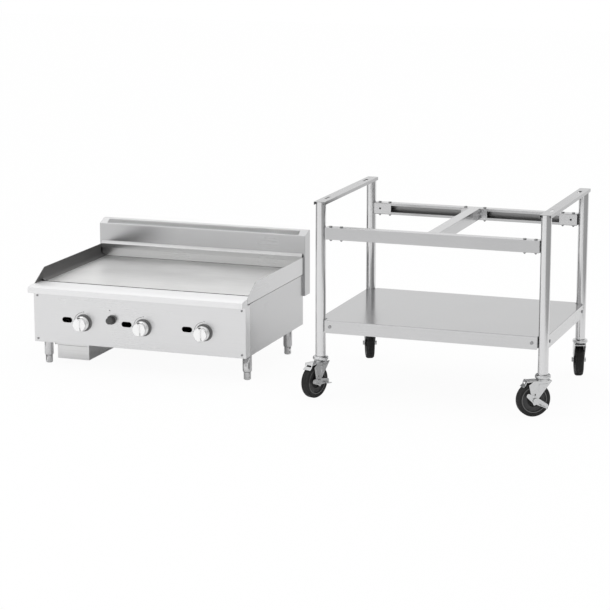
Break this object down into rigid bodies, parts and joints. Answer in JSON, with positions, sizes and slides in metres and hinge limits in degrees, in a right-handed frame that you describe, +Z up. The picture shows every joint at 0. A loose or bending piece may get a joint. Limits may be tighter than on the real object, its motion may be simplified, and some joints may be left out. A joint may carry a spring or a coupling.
{
  "type": "outdoor gas griddle station",
  "caption": "Counter gas griddle with a guarded cooking plate, flue, knobs and grease drawer, beside its wheeled tubular stand with slotted top bars and a low shelf.",
  "frame": {"origin": "centre of the whole footprint, on the floor", "axes": "+X to the right seen from the front, from the griddle to the stand; +Y to the back; +Z up"},
  "size_m": [2.1104, 0.857, 0.738],
  "materials": {
    "stainless": "fine brushed satin",
    "plate_steel": "ground and polished",
    "drawer_steel": "satin",
    "leg_steel": "satin",
    "zinc_plated": "bright plated",
    "fastener_steel": "satin",
    "knob_metal": "polished",
    "black_plastic": "matte",
    "burner_steel": "aluminised",
    "inner_steel": "mill",
    "valve_brass": "machined",
    "pipe_steel": "black pipe",
    "tyre": "matte, grooved tread",
    "wheel_hub": "moulded grey"
  },
  "bodies": {
    "station": {"back_panel": "stainless", "bottom_pan": "stainless", "burner_rack": "inner_steel", "burners": "burner_steel", "caster_stems": "zinc_plated", "cross_beam": "stainless", "drawer_runners": "drawer_steel", "flue_grille": "stainless", "flue_riser": "stainless", "front_ledge": "stainless", "front_panel": "stainless", "front_rail": "stainless", "gas_inlet_pipe": "pipe_steel", "gas_manifold": "pipe_steel", "gas_valves": "valve_brass", "grease_trough": "stainless", "griddle_legs": "leg_steel", "griddle_plate": "plate_steel", "guard_left": "stainless", "guard_right": "stainless", "igniter_body": "black_plastic", "knob_bezels": "black_plastic", "panel_screws": "fastener_steel", "pilot_burners": "inner_steel", "plate_supports": "inner_steel", "posts": "stainless", "rear_rail": "stainless", "rear_splash": "stainless", "shelf": "stainless", "side_panel_left": "stainless", "side_panel_right": "stainless", "stand_bolts": "fastener_steel", "stand_brackets": "stainless", "top_bar_left": "stainless", "top_bar_right": "stainless"},
    "knob_left": {"knob_left": "knob_metal"},
    "knob_centre": {"knob_centre": "knob_metal"},
    "knob_right": {"knob_right": "knob_metal"},
    "igniter_button": {"igniter_button": "black_plastic"},
    "grease_drawer": {"grease_drawer": "drawer_steel"},
    "foot_front_left": {"foot_front_left": "leg_steel"},
    "foot_front_right": {"foot_front_right": "leg_steel"},
    "foot_rear_left": {"foot_rear_left": "leg_steel"},
    "foot_rear_right": {"foot_rear_right": "leg_steel"},
    "caster_front_left": {"caster_fork_front_left": "zinc_plated"},
    "wheel_front_left": {"tyre_front_left": "tyre", "hub_front_left": "wheel_hub"},
    "caster_front_right": {"caster_fork_front_right": "zinc_plated"},
    "wheel_front_right": {"tyre_front_right": "tyre", "hub_front_right": "wheel_hub"},
    "caster_rear_left": {"caster_fork_rear_left": "zinc_plated"},
    "wheel_rear_left": {"tyre_rear_left": "tyre", "hub_rear_left": "wheel_hub"},
    "caster_rear_right": {"caster_fork_rear_right": "zinc_plated"},
    "wheel_rear_right": {"tyre_rear_right": "tyre", "hub_rear_right": "wheel_hub"},
    "brake_lever_front_left": {"brake_lever_front_left": "zinc_plated"},
    "brake_shoe_front_left": {"brake_shoe_front_left": "zinc_plated"},
    "brake_lever_front_right": {"brake_lever_front_right": "zinc_plated"},
    "brake_shoe_front_right": {"brake_shoe_front_right": "zinc_plated"}
  },
  "joints": [
    {"name": "knob_left_turn", "type": "hinge", "parent": "station", "child": "knob_left", "pos_m": [-0.83172, -0.27154, 0.19], "axis": [0, -1, 0], "range_deg": [0, 90]},
    {"name": "knob_centre_turn", "type": "hinge", "parent": "station", "child": "knob_centre", "pos_m": [-0.57772, -0.27154, 0.19], "axis": [0, -1, 0], "range_deg": [0, 90]},
    {"name": "knob_right_turn", "type": "hinge", "parent": "station", "child": "knob_right", "pos_m": [-0.32372, -0.27154, 0.19], "axis": [0, -1, 0], "range_deg": [0, 90]},
    {"name": "igniter_press", "type": "slide", "parent": "station", "child": "igniter_button", "axis": [0, 1, 0], "range_m": [0, 0.006], "stiffness_N_per_m": 900, "springref_m": -0.004},
    {"name": "grease_drawer_slide", "type": "slide", "parent": "station", "child": "grease_drawer", "axis": [0, -1, 0], "range_m": [0, 0.35]},
    {"name": "foot_front_left_level", "type": "slide", "parent": "station", "child": "foot_front_left", "axis": [0, 0, -1], "range_m": [0, 0.025]},
    {"name": "foot_front_right_level", "type": "slide", "parent": "station", "child": "foot_front_right", "axis": [0, 0, -1], "range_m": [0, 0.025]},
    {"name": "foot_rear_left_level", "type": "slide", "parent": "station", "child": "foot_rear_left", "axis": [0, 0, -1], "range_m": [0, 0.025]},
    {"name": "foot_rear_right_level", "type": "slide", "parent": "station", "child": "foot_rear_right", "axis": [0, 0, -1], "range_m": [0, 0.025]},
    {"name": "caster_front_left_swivel", "type": "hinge", "parent": "station", "child": "caster_front_left", "pos_m": [0.17078, -0.33154, 0.134], "axis": [0, 0, 1], "continuous": true},
    {"name": "wheel_front_left_spin", "type": "hinge", "parent": "caster_front_left", "child": "wheel_front_left", "pos_m": [0.15846, -0.36537, 0.0635], "axis": [0.9397, -0.342, 0], "continuous": true},
    {"name": "brake_lever_front_left_press", "type": "hinge", "parent": "caster_front_left", "child": "brake_lever_front_left", "pos_m": [0.15846, -0.36537, 0.0635], "axis": [-0.9397, 0.342, 0], "range_deg": [0, 25]},
    {"name": "brake_shoe_front_left_swing", "type": "hinge", "parent": "caster_front_left", "child": "brake_shoe_front_left", "pos_m": [0.14889, -0.39168, 0.1325], "axis": [0.9397, -0.342, 0], "range_deg": [0, 6]},
    {"name": "caster_front_right_swivel", "type": "hinge", "parent": "station", "child": "caster_front_right", "pos_m": [1.02078, -0.33154, 0.134], "axis": [0, 0, 1], "continuous": true},
    {"name": "wheel_front_right_spin", "type": "hinge", "parent": "caster_front_right", "child": "wheel_front_right", "pos_m": [0.99129, -0.35219, 0.0635], "axis": [0.5736, -0.8192, 0], "continuous": true},
    {"name": "brake_lever_front_right_press", "type": "hinge", "parent": "caster_front_right", "child": "brake_lever_front_right", "pos_m": [0.99129, -0.35219, 0.0635], "axis": [-0.5736, 0.8192, 0], "range_deg": [-25, 0]},
    {"name": "brake_shoe_front_right_swing", "type": "hinge", "parent": "caster_front_right", "child": "brake_shoe_front_right", "pos_m": [0.96835, -0.36825, 0.1325], "axis": [0.5736, -0.8192, 0], "range_deg": [-6, 0]},
    {"name": "caster_rear_left_swivel", "type": "hinge", "parent": "station", "child": "caster_rear_left", "pos_m": [0.17078, 0.26846, 0.134], "axis": [0, 0, 1], "continuous": true},
    {"name": "wheel_rear_left_spin", "type": "hinge", "parent": "caster_rear_left", "child": "wheel_rear_left", "pos_m": [0.15671, 0.3016, 0.0635], "axis": [-0.9205, -0.3907, 0], "continuous": true},
    {"name": "caster_rear_right_swivel", "type": "hinge", "parent": "station", "child": "caster_rear_right", "pos_m": [1.02078, 0.26846, 0.134], "axis": [0, 0, 1], "continuous": true},
    {"name": "wheel_rear_right_spin", "type": "hinge", "parent": "caster_rear_right", "child": "wheel_rear_right", "pos_m": [1.00965, 0.3027, 0.0635], "axis": [-0.9511, -0.309, 0], "continuous": true}
  ],
  "couplings": [
    {"joint": "brake_shoe_front_left_swing", "follows": "brake_lever_front_left_press", "ratio": 0.24},
    {"joint": "brake_shoe_front_right_swing", "follows": "brake_lever_front_right_press", "ratio": 0.24}
  ]
}
